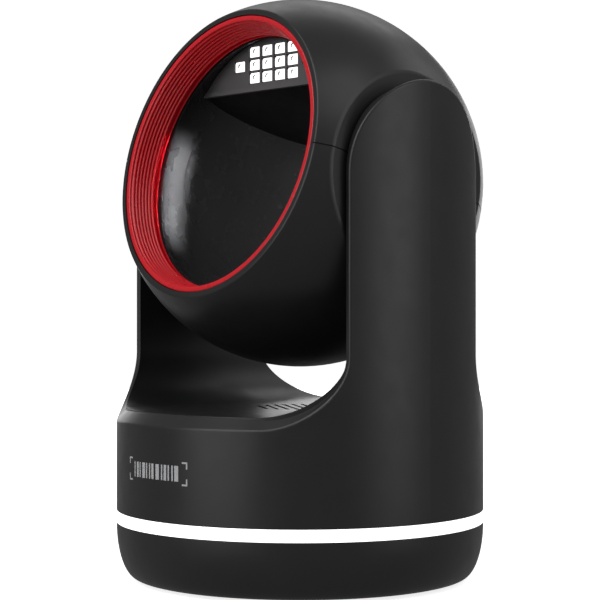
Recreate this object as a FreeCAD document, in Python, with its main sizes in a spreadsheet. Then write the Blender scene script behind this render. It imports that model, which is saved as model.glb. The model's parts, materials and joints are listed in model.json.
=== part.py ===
"""Desktop barcode scanner: a round weighted base with two arms, and a ball-shaped head that tilts between them.

Millimetres. +Z is up, the scan mouth faces -Y, the arms stand at +X and -X, and the feet rest on Z = 0.
"""
import FreeCAD, Part
import math
import os

import Sketcher

Vector = FreeCAD.Vector
Placement = FreeCAD.Placement
Rotation = FreeCAD.Rotation

AXIS_X = Vector(1, 0, 0)
AXIS_Y = Vector(0, 1, 0)
AXIS_Z = Vector(0, 0, 1)
WIDE = 120.0

SIZES = {
    # base
    "base_radius": 48.0,
    "base_wall": 2.2,
    "foot_stand": 0.8,
    "foot_radius": 5.0,
    "foot_recess": 1.2,
    "foot_circle": 33.0,
    "foot_round": 0.5,
    "corner_run": 5.2,
    "corner_straight": 0.4,
    "light_bottom": 15.2,
    "light_height": 3.1,
    "light_inner_radius": 44.6,
    "fit_gap": 0.05,
    # saddle between the arms
    "channel_floor": 44.6,
    "channel_half_width": 41.2,
    "channel_fillet": 14.4,
    "rim_bevel": 3.0,
    "rim_ledge": 1.5,
    "saddle_wall": 1.8,
    "parting_gap": 0.12,
    "post_circle": 33.0,
    "post_radius": 3.2,
    "post_hole_radius": 1.25,
    "post_hole_depth": 12.0,
    "post_clear_radius": 3.6,
    "screw_recess_radius": 2.9,
    "screw_recess_depth": 1.2,
    "base_screw_length": 11.0,
    "slit_width": 1.0,
    "slit_pitch": 2.5,
    "slit_circle": 12.6,
    "slit_turn": -31.0,
    # arms and tilt hinge
    "tilt_height": 103.2,
    "tilt_rest": 13.4,
    "tilt_up_limit": 20.0,
    "tilt_down_limit": 25.0,
    "arm_edge_round": 0.7,
    "pin_radius": 7.5,
    "pin_bore": 5.5,
    "pin_clearance": 0.06,
    "sleeve_wall": 1.5,
    "sleeve_flange": 3.0,
    "stop_radius": 1.2,
    "stop_circle": 13.0,
    "stop_clearance": 0.35,
    "bracket_half_width": 10.0,
    "bracket_reach": 40.0,
    "bracket_thick": 1.2,
    "bracket_screw_radius": 0.95,
    "pin_flange": 1.1,
    "ring_thick": 0.5,
    "washer_thick": 0.45,
    # ball head
    "head_radius": 48.0,
    "head_half_width": 40.5,
    "head_wall": 2.2,
    "flat_round": 1.8,
    "mouth_depth": 29.6,
    "seam_width": 0.3,
    "seam_depth": 0.3,
    "boss_circle": 42.6,
    "boss_radius": 2.5,
    "boss_depth": 14.0,
    "boss_seat": 5.0,
    "head_screw_length": 12.0,
    "lip_round": 0.5,
    "collar_radius": 36.3,
    "collar_neck": 33.7,
    "collar_back": 20.8,
    "collar_wall": 1.4,
    "collar_front_gap": 0.15,
    "collar_lip": 1.3,
    "collar_lip_deep": 0.8,
    "rib_count": 7.0,
    "rib_height": 0.45,
    "bowl_radius": 40.0,
    "bowl_wall": 1.0,
    "bowl_half_width": 36.6,
    "bowl_front": 20.4,
    "bowl_flange": 36.0,
    "bowl_round": 30.0,
    # lamp panel above the scan window
    "panel_front": 9.4,
    "panel_bottom": 24.3,
    "panel_wall": 1.2,
    "panel_lip_tall": 1.2,
    "panel_lip_proud": 0.5,
    "shelf_slope": 18.1,
    "shelf_thick": 1.4,
    "led_pitch_x": 5.05,
    "led_pitch_z": 3.4,
    "led_lowest_row": 27.9,
    "led_side_x": 13.6,
    "led_wide": 3.6,
    "led_tall": 2.65,
    "led_margin_x": 0.42,
    "led_margin_z": 0.25,
    # camera behind the bowl
    "window_wide": 24.0,
    "window_tall": 16.0,
    "window_front": 31.0,
    "window_frame": 2.0,
    "window_ledge": 1.5,
    "lens_x": -3.5,
    "lens_radius": 3.35,
    "lens_front": 34.4,
    "aimer_x": 5.0,
    "aimer_radius": 1.6,
    "camera_front": 37.0,
    "camera_back": 41.4,
    # electronics
    "board_thick": 1.6,
    "board_level": 24.0,
    "board_radius": 40.0,
    "board_screw_circle": 31.0,
    "board_screw_radius": 0.95,
    "board_screw_length": 7.0,
    "board_screw_clear": 1.1,
    "board_post_radius": 2.6,
    "board_post_hole": 1.0,
    "plate_radius": 39.0,
    "plate_thick": 4.0,
    "light_board_outer": 44.0,
    "light_board_inner": 37.4,
    "light_board_thick": 1.2,
    "lamp_count": 16.0,
    "jack_wide": 13.4,
    "jack_tall": 12.4,
    "jack_face": 47.0,
    "jack_deep": 16.0,
    "jack_gap": 0.3,
    "speaker_radius": 14.0,
    "speaker_bottom": 34.8,
}

doc = FreeCAD.newDocument("barcode_scanner")
sheet = doc.addObject("Spreadsheet::Sheet", "Sizes")
for row, (alias, amount) in enumerate(SIZES.items(), start=1):
    sheet.set(f"A{row}", alias)
    sheet.set(f"B{row}", str(amount))
    sheet.setAlias(f"B{row}", alias)
doc.recompute()

pieces = []


def size(alias):
    """One driving dimension, read back from the sheet."""
    return float(sheet.get(alias))


# ---------------------------------------------------------------- helpers

def keep(piece, label):
    """Gives a finished sub-part its label, which also names its file."""
    piece.Label = label
    pieces.append(piece)
    return piece


def shaped(label, shape, placement=None):
    """A sub-part whose solid is worked out by Part's own functions."""
    piece = doc.addObject("Part::Feature", label)
    piece.Shape = shape
    if placement:
        piece.Placement = placement
    return keep(piece, label)


def box(x_low, x_high, y_low, y_high, z_low, z_high):
    """A block between two corners."""
    return Part.makeBox(x_high - x_low, y_high - y_low, z_high - z_low, Vector(x_low, y_low, z_low))


def rod(radius, start, length, axis=AXIS_Z):
    """A round bar from a start point along an axis."""
    return Part.makeCylinder(radius, length, start, axis)


def tube(outer, inner, start, length, axis=AXIS_Z):
    """A round bar with a through hole."""
    return rod(outer, start, length, axis).cut(rod(inner, start, length, axis))


def mirrored_x(shape):
    """The same shape on the other arm."""
    return shape.mirror(Vector(0, 0, 0), AXIS_X)


def ring_points(circle, count, start_angle):
    """Evenly spaced places on a circle about the upright axis."""
    step = 360.0 / count
    angles = [math.radians(start_angle + step * index) for index in range(count)]
    return [(circle * math.cos(angle), circle * math.sin(angle)) for angle in angles]


def board_screw_places():
    """Where three screws hold the main board up to the saddle. The socket fills the rear place."""
    right, rear, left, front = ring_points(size("board_screw_circle"), 4, 0)
    return [right, left, front]


def screw(head_radius, head_height, shank_radius, length, head_seat, axis):
    """A pan-head screw with a cross recess: its head sits at head_seat and its shank runs along axis."""
    head = rod(head_radius, head_seat - axis * head_height, head_height, axis)
    shank = rod(shank_radius, head_seat, length, axis)
    body = head.fuse(shank)
    depth = head_height * 0.5
    slot_long = head_radius * 1.1
    slot_wide = head_radius * 0.3
    for wide, tall in ((slot_long, slot_wide), (slot_wide, slot_long)):
        slot = box(-wide / 2, wide / 2, -tall / 2, tall / 2, -depth, depth)
        slot.Placement = Placement(head_seat - axis * head_height, Rotation(AXIS_Z, axis))
        body = body.cut(slot)
    return body


# ---------------------------------------------------------------- sketched bodies

def origin_plane(body, role):
    """One of a body's own origin planes."""
    return next(item for item in body.Origin.OriginFeatures if item.Role == role)


def flat_sketch(body, name, level_alias=None, turn=0.0):
    """A sketch on the body's XY plane, lifted to a level held in the sheet, or turned on the spot."""
    sketch = body.newObject("Sketcher::SketchObject", name)
    sketch.AttachmentSupport = [(origin_plane(body, "XY_Plane"), "")]
    sketch.MapMode = "FlatFace"
    sketch.AttachmentOffset = Placement(Vector(0, 0, 0), Rotation(AXIS_Z, turn))
    if level_alias:
        sketch.setExpression("AttachmentOffset.Base.z", f"Sizes.{level_alias}")
    return sketch


def sketch_circle(sketch, name, alias):
    """A circle on the sketch's origin with its radius bound to the sheet."""
    index = sketch.addGeometry(Part.Circle(Vector(0, 0, 0), AXIS_Z, size(alias)), False)
    sketch.addConstraint(Sketcher.Constraint("Coincident", index, 3, -1, 1))
    number = sketch.addConstraint(Sketcher.Constraint("Radius", index, size(alias)))
    sketch.renameConstraint(number, name)
    sketch.setExpression(f"Constraints.{name}", f"Sizes.{alias}")


def sketch_hole(sketch, alias, reach_alias):
    """A circle out along the sketch's X axis, for a pattern to repeat."""
    index = sketch.addGeometry(Part.Circle(Vector(size(reach_alias), 0, 0), AXIS_Z, size(alias)), False)
    sketch.addConstraint(Sketcher.Constraint("PointOnObject", index, 3, -1))
    number = sketch.addConstraint(Sketcher.Constraint("Radius", index, size(alias)))
    sketch.renameConstraint(number, "radius")
    sketch.setExpression("Constraints.radius", f"Sizes.{alias}")
    number = sketch.addConstraint(Sketcher.Constraint("DistanceX", -1, 1, index, 3, size(reach_alias)))
    sketch.renameConstraint(number, "reach")
    sketch.setExpression("Constraints.reach", f"Sizes.{reach_alias}")


def pad(body, sketch, name, length_alias):
    """A pad straight up, its length bound to the sheet."""
    feature = body.newObject("PartDesign::Pad", name)
    feature.Profile = sketch
    feature.setExpression("Length", f"Sizes.{length_alias}")
    return feature


def through_pocket(body, sketch, name):
    """A pocket right through the body, up and down from its sketch."""
    feature = body.newObject("PartDesign::Pocket", name)
    feature.Profile = sketch
    feature.Type = "ThroughAll"
    feature.Midplane = True
    return feature


def round_pattern(body, feature, name, count):
    """Repeats a feature about the body's upright axis."""
    pattern = body.newObject("PartDesign::PolarPattern", name)
    pattern.Originals = [feature]
    pattern.Axis = (origin_plane(body, "Z_Axis"), [""])
    pattern.Angle = 360.0
    pattern.Occurrences = count
    body.Tip = pattern
    return pattern


def make_light_ring():
    """The frosted band that glows all the way round, flush with the housing."""
    body = doc.addObject("PartDesign::Body", "light_ring")
    sketch = flat_sketch(body, "ring_outline", "light_bottom")
    sketch_circle(sketch, "outer", "base_radius")
    sketch_circle(sketch, "inner", "light_inner_radius")
    pad(body, sketch, "ring", "light_height")
    return keep(body, "light_ring")


def make_ballast():
    """The steel plate that gives the base its weight, with holes for the four posts."""
    body = doc.addObject("PartDesign::Body", "ballast_plate")
    sketch = flat_sketch(body, "plate_outline")
    sketch_circle(sketch, "outer", "plate_radius")
    pad(body, sketch, "plate", "plate_thick")
    holes = flat_sketch(body, "post_hole")
    sketch_hole(holes, "post_clear_radius", "post_circle")
    pocket = through_pocket(body, holes, "post_clearance")
    round_pattern(body, pocket, "post_clearances", 4)
    lift = size("foot_stand") + size("base_wall") + 4 * size("fit_gap")
    body.Placement = Placement(Vector(0, 0, lift), Rotation(AXIS_Z, 45))
    return keep(body, "ballast_plate")


def make_main_board():
    """The decoder board across the base, holed for the posts and for its own screws."""
    body = doc.addObject("PartDesign::Body", "main_board")
    sketch = flat_sketch(body, "board_outline")
    sketch_circle(sketch, "outer", "board_radius")
    pad(body, sketch, "board", "board_thick")
    holes = flat_sketch(body, "post_hole", turn=45)
    sketch_hole(holes, "post_clear_radius", "post_circle")
    pocket = through_pocket(body, holes, "post_clearance")
    round_pattern(body, pocket, "post_clearances", 4)
    holes = flat_sketch(body, "screw_hole")
    sketch_hole(holes, "board_screw_clear", "board_screw_circle")
    pocket = through_pocket(body, holes, "screw_clearance")
    round_pattern(body, pocket, "screw_clearances", 4)
    body.Placement = Placement(Vector(0, 0, size("board_level")), Rotation())
    return keep(body, "main_board")


def make_light_board():
    """The ring-shaped board that carries the lamps of the glowing band."""
    body = doc.addObject("PartDesign::Body", "light_board")
    sketch = flat_sketch(body, "board_outline", "light_bottom")
    sketch_circle(sketch, "outer", "light_board_outer")
    sketch_circle(sketch, "inner", "light_board_inner")
    pad(body, sketch, "board", "light_board_thick")
    return keep(body, "light_board")


# ---------------------------------------------------------------- base: shapes shared by its covers

def channel_void(grow):
    """The U-shaped channel the head swings in, as a prism along Y, grown outwards by a wall."""
    half = size("channel_half_width") + grow
    floor = size("channel_floor") - grow
    fillet = size("channel_fillet") + grow
    top = size("tilt_height") + WIDE
    inner = half - fillet
    bend = fillet * math.sin(math.radians(45))
    left_arc = Part.Arc(
        Vector(-half, 0, floor + fillet),
        Vector(-inner - bend, 0, floor + fillet - bend),
        Vector(-inner, 0, floor),
    )
    right_arc = Part.Arc(
        Vector(inner, 0, floor),
        Vector(inner + bend, 0, floor + fillet - bend),
        Vector(half, 0, floor + fillet),
    )
    edges = [
        Part.LineSegment(Vector(-half, 0, top), Vector(-half, 0, floor + fillet)),
        left_arc,
        Part.LineSegment(Vector(-inner, 0, floor), Vector(inner, 0, floor)),
        right_arc,
        Part.LineSegment(Vector(half, 0, floor + fillet), Vector(half, 0, top)),
        Part.LineSegment(Vector(half, 0, top), Vector(-half, 0, top)),
    ]
    face = Part.Face(Part.Wire([edge.toShape() for edge in edges]))
    face.translate(Vector(0, -WIDE / 2, 0))
    return face.extrude(Vector(0, WIDE, 0))


def rim_points():
    """Where the bevel starts on an arm's inner face, and where it ends on the round outside, in plan."""
    radius = size("base_radius")
    half = size("channel_half_width")
    edge = math.sqrt(radius ** 2 - half ** 2)
    turn = math.asin(edge / radius) - size("rim_bevel") / radius
    inner = (half, edge - size("rim_bevel"))
    outer = (radius * math.cos(turn), radius * math.sin(turn))
    return inner, outer


def arm_top_waste(grow):
    """What is cut away above both arms: their round tops follow a cone about the tilt axis."""
    inner, outer = rim_points()
    slope = (outer[1] - inner[1]) / (outer[0] - inner[0])
    start_x = size("channel_half_width") - 4
    end_x = size("base_radius") + 1
    small = inner[1] + slope * (start_x - inner[0]) + grow
    large = inner[1] + slope * (end_x - inner[0]) + grow
    tilt = size("tilt_height")
    cone = Part.makeCone(small, large, end_x - start_x, Vector(start_x, 0, tilt), AXIS_X)
    waste = box(start_x, end_x, -WIDE / 2, WIDE / 2, tilt, tilt + WIDE).cut(cone)
    return waste.fuse(mirrored_x(waste))


def saddle_plan(grow):
    """The plan outline of the saddle cover: an oval column that meets the bevel's inner line."""
    inner = rim_points()[0]
    half_y = size("base_radius") - size("rim_bevel")
    half_x = inner[0] / math.sqrt(1 - (inner[1] / half_y) ** 2)
    ellipse = Part.Ellipse(Vector(0, 0, 0), half_x + grow, half_y + grow)
    face = Part.Face(Part.Wire([ellipse.toShape()]))
    return face.extrude(Vector(0, 0, 2 * WIDE))


def saddle_top(grow):
    """The round upper ends of the saddle cover, as a bar about the tilt axis on top of a block."""
    inner = rim_points()[0]
    tilt = size("tilt_height")
    bar = rod(inner[1] + grow, Vector(-WIDE / 2, 0, tilt), WIDE, AXIS_X)
    return bar.fuse(box(-WIDE / 2, WIDE / 2, -WIDE / 2, WIDE / 2, -1, tilt))


def on_base_cylinder(edge):
    """Whether an edge lies on the round outside."""
    middle = edge.valueAt((edge.FirstParameter + edge.LastParameter) / 2)
    on_round = abs(math.hypot(middle.x, middle.y) - size("base_radius")) < 1e-3
    seam = abs(middle.y) < 1e-6 and edge.BoundBox.ZLength > 1
    return on_round and not seam


def base_block():
    """The outside form above the light ring, with a bevel where the channel breaks through the cylinder."""
    bottom = size("light_bottom") + size("light_height")
    tall = size("tilt_height") + 15
    block = rod(size("base_radius"), Vector(0, 0, bottom), tall).cut(channel_void(0))
    rim = [
        edge
        for edge in block.Edges
        if on_base_cylinder(edge) and bottom + 1 < edge.CenterOfMass.z < bottom + tall - 1
    ]
    block = block.makeChamfer(size("rim_bevel"), rim).cut(arm_top_waste(0))
    outer_edges = [
        edge
        for edge in block.Edges
        if on_base_cylinder(edge) and edge.CenterOfMass.z > bottom + 1
    ]
    return block.makeFillet(size("arm_edge_round"), outer_edges)


def make_outer_housing():
    """The outer cover: cylinder, both arms' outer skins and the bevelled rim round the saddle."""
    radius = size("base_radius") - size("base_wall")
    skin = size("saddle_wall") + size("fit_gap")
    ledge = skin + size("rim_ledge")
    lining = rod(radius, Vector(0, 0, 0), 2 * WIDE).cut(channel_void(ledge))
    lining = lining.cut(arm_top_waste(-size("base_wall")))
    pocket = channel_void(skin).common(saddle_plan(0)).common(saddle_top(0))
    window = channel_void(ledge + 2 * size("fit_gap")).common(saddle_plan(-size("rim_ledge")))
    window = window.common(saddle_top(-size("rim_ledge"))).common(rod(radius, Vector(0, 0, 0), 2 * WIDE))
    cover = base_block().cut(lining).cut(pocket).cut(window)
    gap = size("jack_gap")
    half = size("jack_wide") / 2 + gap
    low = size("board_level") + size("board_thick") - gap
    high = low + size("jack_tall") + 2 * gap
    cover = cover.cut(box(-half, half, radius - 5, WIDE, low, high))
    return shaped("outer_housing", cover)


def make_saddle_cover():
    """The U-shaped inner cover: channel floor with the speaker slits, arm faces with the hinge holes, posts."""
    gap = size("parting_gap")
    wall = size("saddle_wall")
    cover = channel_void(wall).common(saddle_plan(-gap)).common(saddle_top(-gap)).cut(channel_void(0))
    floor = size("channel_floor")
    post_top = floor - wall / 2
    post_bottom = size("foot_stand") + size("base_wall") + size("fit_gap")
    for x, y in ring_points(size("post_circle"), 4, 45):
        cover = cover.fuse(rod(size("post_radius"), Vector(x, y, post_bottom), post_top - post_bottom))
    board_top = size("board_level") + size("board_thick")
    for x, y in board_screw_places():
        post = rod(size("board_post_radius"), Vector(x, y, board_top + size("fit_gap")), post_top - board_top)
        cover = cover.fuse(post)
    cover = cover.cut(channel_void(0))
    for x, y in ring_points(size("post_circle"), 4, 45):
        cover = cover.cut(rod(size("post_hole_radius"), Vector(x, y, post_bottom), size("post_hole_depth")))
    for x, y in board_screw_places():
        cover = cover.cut(rod(size("board_post_hole"), Vector(x, y, board_top), size("board_screw_length")))
    tilt = size("tilt_height")
    hinge_hole = rod(size("pin_radius") + size("fit_gap"), Vector(-WIDE / 2, 0, tilt), WIDE, AXIS_X)
    cover = cover.cut(hinge_hole).cut(stop_slot()).cut(speaker_slits())
    for x, y, z in bracket_screw_places():
        hole = rod(size("bracket_screw_radius") + size("fit_gap"), Vector(x - 1.4, y, z), 2.0, AXIS_X)
        cover = cover.cut(hole).cut(mirrored_x(hole))
    return shaped("saddle_cover", cover)


def stop_slot():
    """The arc-shaped slot in the right arm face that the head's stop pin runs in."""
    reach = size("stop_radius") + size("stop_clearance")
    circle = size("stop_circle")
    tilt = size("tilt_height")
    rest = -90 - size("tilt_rest")
    low = rest - size("tilt_up_limit")
    high = rest + size("tilt_down_limit")
    start_x = size("channel_half_width") - 1
    deep = size("saddle_wall") + 2
    far = 2.5 * circle
    slot = tube(circle + reach, circle - reach, Vector(start_x, 0, tilt), deep, AXIS_X)
    wedge_points = [Vector(start_x, 0, tilt)]
    for angle in (low, (low + high) / 2, high):
        turn = math.radians(angle)
        wedge_points.append(Vector(start_x, far * math.cos(turn), tilt + far * math.sin(turn)))
    wedge_points.append(wedge_points[0])
    wedge = Part.Face(Part.makePolygon(wedge_points)).extrude(Vector(deep, 0, 0))
    slot = slot.common(wedge)
    for angle in (low, high):
        turn = math.radians(angle)
        end = Vector(start_x, circle * math.cos(turn), tilt + circle * math.sin(turn))
        slot = slot.fuse(rod(reach, end, deep, AXIS_X))
    return slot


def speaker_slits():
    """Parallel slanting slits over the speaker, kept inside a circle."""
    pitch = size("slit_pitch")
    circle = size("slit_circle")
    wide = size("slit_width")
    count = int(circle / pitch)
    below = size("channel_floor") - 2 * size("saddle_wall")
    tall = 3 * size("saddle_wall")
    slits = []
    for step in range(-count, count + 1):
        offset = step * pitch
        half = math.sqrt(circle ** 2 - offset ** 2) - wide
        if half > wide:
            slit = box(-half, half, offset - wide / 2, offset + wide / 2, below, below + tall)
            for end in (-half, half):
                slit = slit.fuse(rod(wide / 2, Vector(end, offset, below), tall))
            slits.append(slit)
    group = slits[0].multiFuse(slits[1:])
    group.rotate(Vector(0, 0, 0), AXIS_Z, size("slit_turn"))
    return group


def make_bottom_cover():
    """The shallow tray under the base, with its soft lower corner, foot recesses and screw recesses."""
    wall = size("base_wall")
    low = size("foot_stand")
    top = size("light_bottom")
    straight = size("corner_straight")
    cover = soft_disc(size("base_radius"), low, top, straight)
    hollow = soft_disc(size("base_radius") - wall, low + wall, top + 1, straight + 0.6)
    cover = cover.cut(hollow)
    for x, y in ring_points(size("foot_circle"), 4, 0):
        recess = rod(size("foot_radius") + 2 * size("fit_gap"), Vector(x, y, 0), low + size("foot_recess"))
        cover = cover.cut(recess)
    for x, y in ring_points(size("post_circle"), 4, 45):
        cover = cover.cut(rod(size("screw_recess_radius"), Vector(x, y, 0), low + size("screw_recess_depth")))
        cover = cover.cut(rod(size("post_hole_radius") + 4 * size("fit_gap"), Vector(x, y, 0), top))
    return shaped("bottom_cover", cover)


def soft_disc(radius, bottom, top, straight):
    """A round slab whose lower edge is a quarter of an ellipse, with a straight part above it."""
    centre = Vector(radius - size("corner_run"), 0, top - straight)
    lowest = Vector(centre.x, 0, bottom)
    widest = Vector(radius, 0, centre.z)
    quarter = Part.ArcOfEllipse(Part.Ellipse(lowest, widest, centre), 0, math.pi / 2)
    rim = Vector(radius, 0, top)
    middle_low = Vector(0, 0, bottom)
    middle_high = Vector(0, 0, top)
    edges = [
        Part.LineSegment(middle_low, lowest),
        quarter,
        Part.LineSegment(widest, rim),
        Part.LineSegment(rim, middle_high),
        Part.LineSegment(middle_high, middle_low),
    ]
    return Part.Face(Part.Wire([edge.toShape() for edge in edges])).revolve(Vector(0, 0, 0), AXIS_Z, 360)


def make_rubber_feet():
    """Four soft feet glued into the recesses of the bottom cover, with a rounded rim below."""
    feet = []
    for x, y in ring_points(size("foot_circle"), 4, 0):
        foot = rod(size("foot_radius"), Vector(x, y, 0), size("foot_stand") + size("foot_recess"))
        rim = [edge for edge in foot.Edges if edge.BoundBox.ZMax < 0.01]
        feet.append(foot.makeFillet(size("foot_round"), rim))
    return shaped("rubber_feet", Part.makeCompound(feet))


def make_bottom_screws():
    """The four screws that clamp the whole base together, from below into the saddle's posts."""
    seat = size("foot_stand") + size("screw_recess_depth")
    head_radius = size("screw_recess_radius") - 0.4
    head_height = size("screw_recess_depth") - 0.1
    shank = size("post_hole_radius") - size("fit_gap")
    length = size("base_screw_length")
    screws = []
    for x, y in ring_points(size("post_circle"), 4, 45):
        screws.append(screw(head_radius, head_height, shank, length, Vector(x, y, seat), AXIS_Z))
    return shaped("bottom_screws", Part.makeCompound(screws))


# ---------------------------------------------------------------- base: hinge hardware on the arms

BRACKET_DROPS = (18.0, 34.0)
BRACKET_SCREW_OFFSETS = (-7.0, 7.0)


def bracket_screw_places():
    """Where the bracket screws sit on the right arm: across the arm, below the tilt axis."""
    seat = size("channel_half_width") + size("saddle_wall")
    tilt = size("tilt_height")
    return [(seat, y, tilt - drop) for y in BRACKET_SCREW_OFFSETS for drop in BRACKET_DROPS]


def bracket_face():
    """How far out the right bracket's outer face lies."""
    return size("channel_half_width") + size("saddle_wall") + size("fit_gap") + size("bracket_thick")


def hinge_bracket():
    """The right arm's steel plate: a strap with a round head that holds the hinge pin."""
    start_x = size("channel_half_width") + size("saddle_wall") + size("fit_gap")
    tilt = size("tilt_height")
    half = size("bracket_half_width")
    thick = size("bracket_thick")
    plate = rod(half, Vector(start_x, 0, tilt), thick, AXIS_X)
    plate = plate.fuse(box(start_x, start_x + thick, -half, half, tilt - size("bracket_reach"), tilt))
    plate = plate.cut(rod(size("pin_radius"), Vector(start_x - thick, 0, tilt), 3 * thick, AXIS_X))
    clear = size("bracket_screw_radius") + 3 * size("fit_gap")
    for x, y, z in bracket_screw_places():
        plate = plate.cut(rod(clear, Vector(start_x - thick, y, z), 3 * thick, AXIS_X))
    return plate.removeSplitter()


def hinge_pin():
    """The right hollow steel pin that the head turns on, flanged behind the bracket."""
    tilt = size("tilt_height")
    seat = bracket_face()
    inner_end = size("bowl_half_width") + 4 * size("fit_gap")
    flange_thick = 0.5
    barrel = rod(size("pin_radius"), Vector(inner_end, 0, tilt), seat + flange_thick - inner_end, AXIS_X)
    flange = rod(size("pin_radius") + size("pin_flange"), Vector(seat, 0, tilt), flange_thick, AXIS_X)
    bore = rod(size("pin_bore"), Vector(inner_end - 1, 0, tilt), WIDE, AXIS_X)
    return barrel.fuse(flange).cut(bore)


def make_hinge_hardware():
    """Both arms' brackets and pins, and the small parts they share."""
    tilt = size("tilt_height")
    bracket = hinge_bracket()
    pin = hinge_pin()
    shaped("right_hinge_bracket", bracket)
    shaped("left_hinge_bracket", mirrored_x(bracket))
    shaped("right_hinge_pin", pin)
    shaped("left_hinge_pin", mirrored_x(pin))
    head_radius = 1.7
    head_height = 0.7
    shank = size("bracket_screw_radius")
    length = size("bracket_thick") + 1.3
    screws = []
    for x, y, z in bracket_screw_places():
        right = screw(head_radius, head_height, shank, length, Vector(bracket_face(), y, z), -AXIS_X)
        screws.extend([right, mirrored_x(right)])
    shaped("bracket_screws", Part.makeCompound(screws))
    ring_start = size("bowl_half_width") + 5 * size("fit_gap")
    ring_outer = size("pin_radius") + 1.9
    gap_half = 1.6
    ring = tube(ring_outer, size("pin_radius"), Vector(ring_start, 0, tilt), size("ring_thick"), AXIS_X)
    ring = ring.cut(box(ring_start - 1, ring_start + 2, -gap_half, gap_half, tilt, tilt + 2 * ring_outer))
    shaped("retaining_rings", Part.makeCompound([ring, mirrored_x(ring)]))
    washer_start = Vector(ring_start + size("ring_thick") + size("fit_gap"), 0, tilt)
    washer_outer = size("pin_radius") + 2.6
    washer_inner = size("pin_radius") + 3 * size("fit_gap")
    washer = tube(washer_outer, washer_inner, washer_start, size("washer_thick"), AXIS_X)
    shaped("friction_washers", Part.makeCompound([washer, mirrored_x(washer)]))


def make_arm_flex():
    """The flat cable that comes through the left hinge pin and drops inside the arm to the main board."""
    half = 3.0
    thick = 0.3
    tilt = size("tilt_height")
    inner_x = -(size("bowl_half_width") + 1)
    outer_x = -(bracket_face() + 0.95)
    socket_top = size("board_level") + size("board_thick") + 1.4
    across = box(outer_x, inner_x, -half, half, tilt - thick, tilt)
    down = box(outer_x, outer_x + thick, -half, half, socket_top, tilt)
    landing = box(outer_x, -35.0, -half, half, socket_top, socket_top + thick)
    flex = across.fuse(down).fuse(landing).removeSplitter()
    return shaped("arm_flex", flex)


# ---------------------------------------------------------------- base: electronics


def make_board_parts():
    """Chips, connectors and screws of the main board, seen only when the base is open."""
    top = size("board_level") + size("board_thick")
    bottom = size("board_level")
    length = size("board_screw_length")
    chips = [
        box(-9, 5, -24, -10, top, top + 1.4),
        box(10, 20, -20, -12, top, top + 1.1),
        box(-22, -14, 4, 12, top, top + 0.9),
        box(14, 21, 6, 11, top, top + 1.6),
    ]
    shaped("board_chips", Part.makeCompound(chips))
    sockets = [
        box(-37, -34, -4.2, 4.2, top, top + 1.3),
        box(24, 27, -6, 4, top, top + 4.5),
        box(-6, 6, 20, 23, top, top + 4.5),
    ]
    shaped("board_connectors", Part.makeCompound(sockets))
    screws = []
    for x, y in board_screw_places():
        screws.append(screw(2.0, 1.4, size("board_screw_radius"), length, Vector(x, y, bottom), AXIS_Z))
    shaped("board_screws", Part.makeCompound(screws))


def make_jack():
    """The modular cable socket in the rear wall, standing on the main board, with its ten sprung contacts."""
    half = size("jack_wide") / 2
    low = size("board_level") + size("board_thick")
    high = low + size("jack_tall")
    face = size("jack_face")
    back = face - size("jack_deep")
    jack = box(-half, half, back, face, low, high)
    cavity_half = 5.95
    cavity_low = low + 3.2
    cavity_tall = 6.8
    cavity_back = face - 12
    latch_half = 3.2
    latch_deep = 2.2
    cavity = box(-cavity_half, cavity_half, cavity_back, face + 1, cavity_low, cavity_low + cavity_tall)
    latch = box(-latch_half, latch_half, cavity_back, face + 1, cavity_low - latch_deep, cavity_low)
    jack = jack.cut(cavity).cut(latch)
    shaped("cable_jack", jack)
    contacts = []
    pitch = 1.02
    half_wire = 0.2
    wire_top = cavity_low + cavity_tall - 0.1
    for index in range(10):
        x = (index - 4.5) * pitch
        wire = box(x - half_wire, x + half_wire, face - 11.5, face - 3, wire_top - 2 * half_wire, wire_top)
        contacts.append(wire)
    shaped("jack_contacts", Part.makeCompound(contacts))


def make_speaker():
    """The round speaker under the slits: a frame, and the cone that it holds."""
    radius = size("speaker_radius")
    low = size("speaker_bottom")
    high = size("channel_floor") - size("saddle_wall") - 4 * size("fit_gap")
    wall = 1.2
    floor = 2.5
    frame = rod(radius, Vector(0, 0, low), high - low)
    frame = frame.cut(rod(radius - wall, Vector(0, 0, low + floor), high))
    magnet_radius = 7.0
    magnet_tall = 2.2
    magnet = rod(magnet_radius, Vector(0, 0, low - magnet_tall), magnet_tall)
    shaped("speaker_frame", frame.fuse(magnet).removeSplitter())
    paper = 0.6
    coil_radius = 5.0
    rim_radius = radius - wall - 0.1
    start = Vector(0, 0, low + floor + 0.7)
    tall = high - start.z - 1
    cone = Part.makeCone(coil_radius, rim_radius, tall, start, AXIS_Z)
    inside = Part.makeCone(coil_radius - paper, rim_radius - paper, tall, start + AXIS_Z * 0.5, AXIS_Z)
    cap_radius = 4.6
    cap = Part.makeSphere(cap_radius, start - AXIS_Z * 1.2)
    cap = cap.common(box(-WIDE, WIDE, -WIDE, WIDE, start.z + 0.2, high))
    shaped("speaker_cone", cone.cut(inside).fuse(cap))


def make_ring_lamps():
    """The small lamps that stand on the light board and shine outwards into the frosted band."""
    count = int(size("lamp_count"))
    level = size("light_bottom") + size("light_board_thick")
    outer = size("light_board_outer") - 0.6
    wide = 2.0
    half_long = 1.5
    tall = 1.4
    lamps = []
    for index in range(count):
        lamp = box(outer - wide, outer, -half_long, half_long, level, level + tall)
        lamp.rotate(Vector(0, 0, 0), AXIS_Z, (index + 0.5) * 360 / count)
        lamps.append(lamp)
    return shaped("ring_lamps", Part.makeCompound(lamps))


# ---------------------------------------------------------------- head: shells

# Head pieces are drawn level, the mouth facing -Y and the tilt axis through the origin, and then tipped up.
HEAD_AT_REST = Placement(Vector(0, 0, size("tilt_height")), Rotation(AXIS_X, -size("tilt_rest")))
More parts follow.
